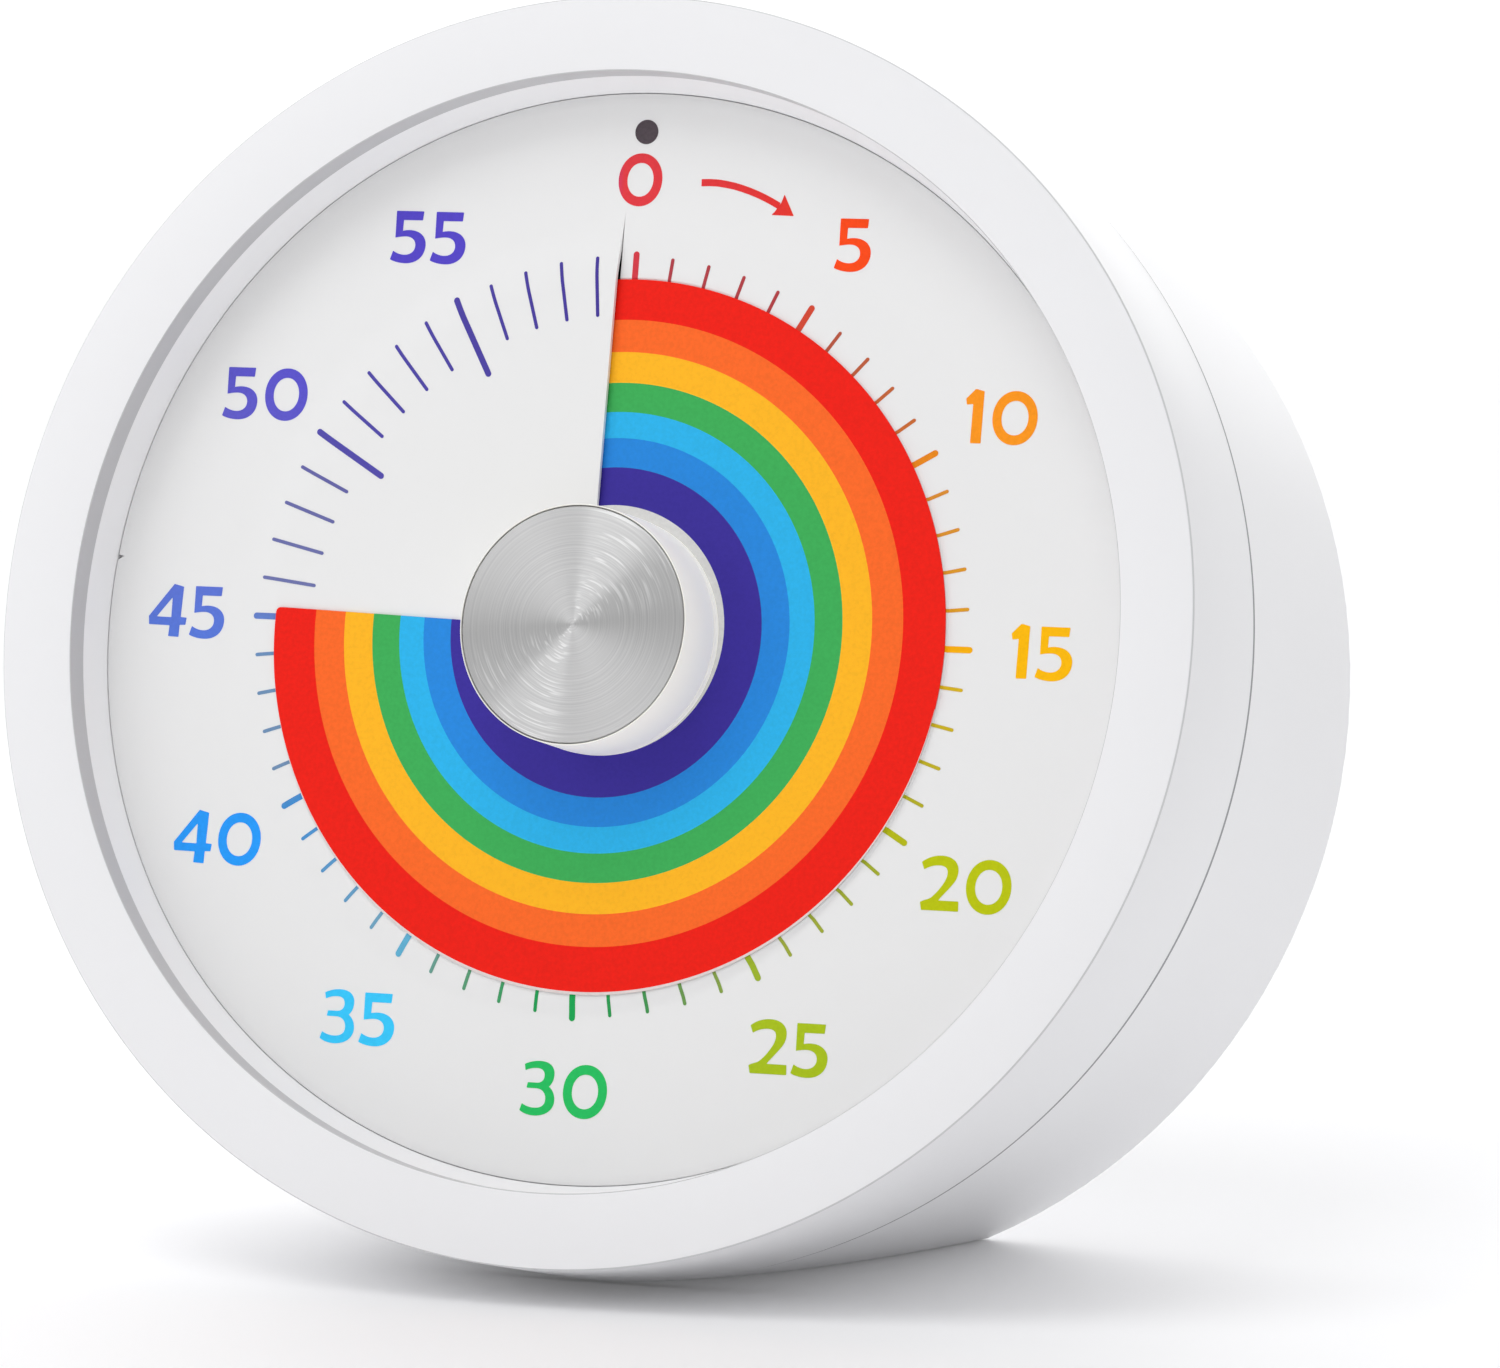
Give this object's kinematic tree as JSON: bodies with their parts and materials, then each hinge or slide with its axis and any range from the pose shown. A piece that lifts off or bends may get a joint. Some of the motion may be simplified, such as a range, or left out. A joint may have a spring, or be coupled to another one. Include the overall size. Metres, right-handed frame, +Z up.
{
  "type": "visual countdown timer",
  "caption": "Round leaning desk timer: turning the centre knob brings a rainbow-ringed film disc out through a slit in the printed dial.",
  "frame": {"origin": "on the table under the middle of the timer", "axes": "+Z up, the dial looks towards -Y and 12 degrees upwards, +X to the right as the dial is read"},
  "size_m": [0.08, 0.0526, 0.0808],
  "materials": {
    "case_white": "satin moulded",
    "dial_white": "matte printed sheet",
    "disc_print": "matte printed film, seven rainbow rings",
    "knob_white": "semi gloss moulded",
    "spun_aluminium": "spun, clear anodised",
    "steel": "turned",
    "spring_steel": "bright",
    "acetal": "natural acetal",
    "ferrite": "sintered, dull",
    "inner_plastic": "moulded",
    "bobbin": "moulded",
    "copper_wire": "enamelled wire",
    "contact_brass": "stamped",
    "board": "solder mask",
    "black_resin": "potted",
    "crystal_can": "drawn can",
    "capacitor_sleeve": "sleeved can",
    "ceramic": "silvered ceramic",
    "cell_sleeve": "plain printed sleeve",
    "nickel_strip": "nickel plated",
    "black_plastic": "moulded",
    "switch_grey": "moulded",
    "pad_rubber": "soft anti-slip pad",
    "screw_steel": "zinc plated"
  },
  "bodies": {
    "case": {"front_bezel": "case_white", "rear_housing": "case_white", "foot_pad": "pad_rubber", "dial_plate": "dial_white", "movement_carrier": "inner_plastic", "movement_cover": "inner_plastic", "stator": "steel", "coil_bobbin": "bobbin", "coil_winding": "copper_wire", "zero_contacts": "contact_brass", "circuit_board": "board", "driver_chip": "black_resin", "quartz_crystal": "crystal_can", "capacitor": "capacitor_sleeve", "sounder_plate": "contact_brass", "sounder_ceramic": "ceramic", "cell": "cell_sleeve", "cell_contact_plus": "nickel_strip", "cell_spring": "spring_steel", "cell_contact_minus": "nickel_strip", "switch_body": "black_plastic", "case_screws": "screw_steel", "carrier_screws": "screw_steel", "cover_screws": "screw_steel", "board_screws": "screw_steel"},
    "knob": {"knob_body": "knob_white", "knob_face": "spun_aluminium", "spindle": "steel", "clutch_spring": "spring_steel", "zero_cam": "acetal"},
    "disc": {"colour_disc": "disc_print", "disc_collar": "knob_white"},
    "main_wheel": {"main_wheel": "acetal"},
    "second_wheel": {"second_wheel": "acetal", "second_arbor": "steel"},
    "third_wheel": {"third_wheel": "acetal", "third_arbor": "steel"},
    "rotor": {"rotor_pinion": "acetal", "rotor_magnet": "ferrite"},
    "battery_door": {"battery_door": "case_white"},
    "sound_switch": {"switch_slider": "switch_grey"}
  },
  "joints": [
    {"name": "knob_turn", "type": "hinge", "parent": "case", "child": "knob", "pos_m": [0, -0.01806, 0.04171], "axis": [0, 0.9781, -0.2079], "range_deg": [-270, 90]},
    {"name": "disc_rise", "type": "slide", "parent": "knob", "child": "disc", "axis": [0, -0.9781, 0.2079], "range_m": [-0.00046, 0.00016]},
    {"name": "main_wheel_turn", "type": "hinge", "parent": "case", "child": "main_wheel", "pos_m": [0, -0.00926, 0.03984], "axis": [0, 0.9781, -0.2079], "continuous": true},
    {"name": "second_wheel_turn", "type": "hinge", "parent": "case", "child": "second_wheel", "pos_m": [0.01147, -0.00759, 0.04769], "axis": [0, 0.9781, -0.2079], "continuous": true},
    {"name": "third_wheel_turn", "type": "hinge", "parent": "case", "child": "third_wheel", "pos_m": [0.00703, -0.00365, 0.05658], "axis": [0, 0.9781, -0.2079], "continuous": true},
    {"name": "rotor_turn", "type": "hinge", "parent": "case", "child": "rotor", "pos_m": [-0.00047, -0.0017, 0.05617], "axis": [0, 0.9781, -0.2079], "continuous": true},
    {"name": "battery_door_pull", "type": "slide", "parent": "case", "child": "battery_door", "axis": [0, 0.9781, -0.2079], "range_m": [0, 0.012]},
    {"name": "sound_switch_slide", "type": "slide", "parent": "case", "child": "sound_switch", "axis": [1, 0, 0], "range_m": [0, 0.003]}
  ],
  "couplings": [
    {"joint": "disc_rise", "follows": "knob_turn", "m_per_rad": 0.000095493},
    {"joint": "second_wheel_turn", "follows": "main_wheel_turn", "ratio": -6},
    {"joint": "third_wheel_turn", "follows": "main_wheel_turn", "ratio": 36},
    {"joint": "rotor_turn", "follows": "main_wheel_turn", "ratio": -180}
  ]
}
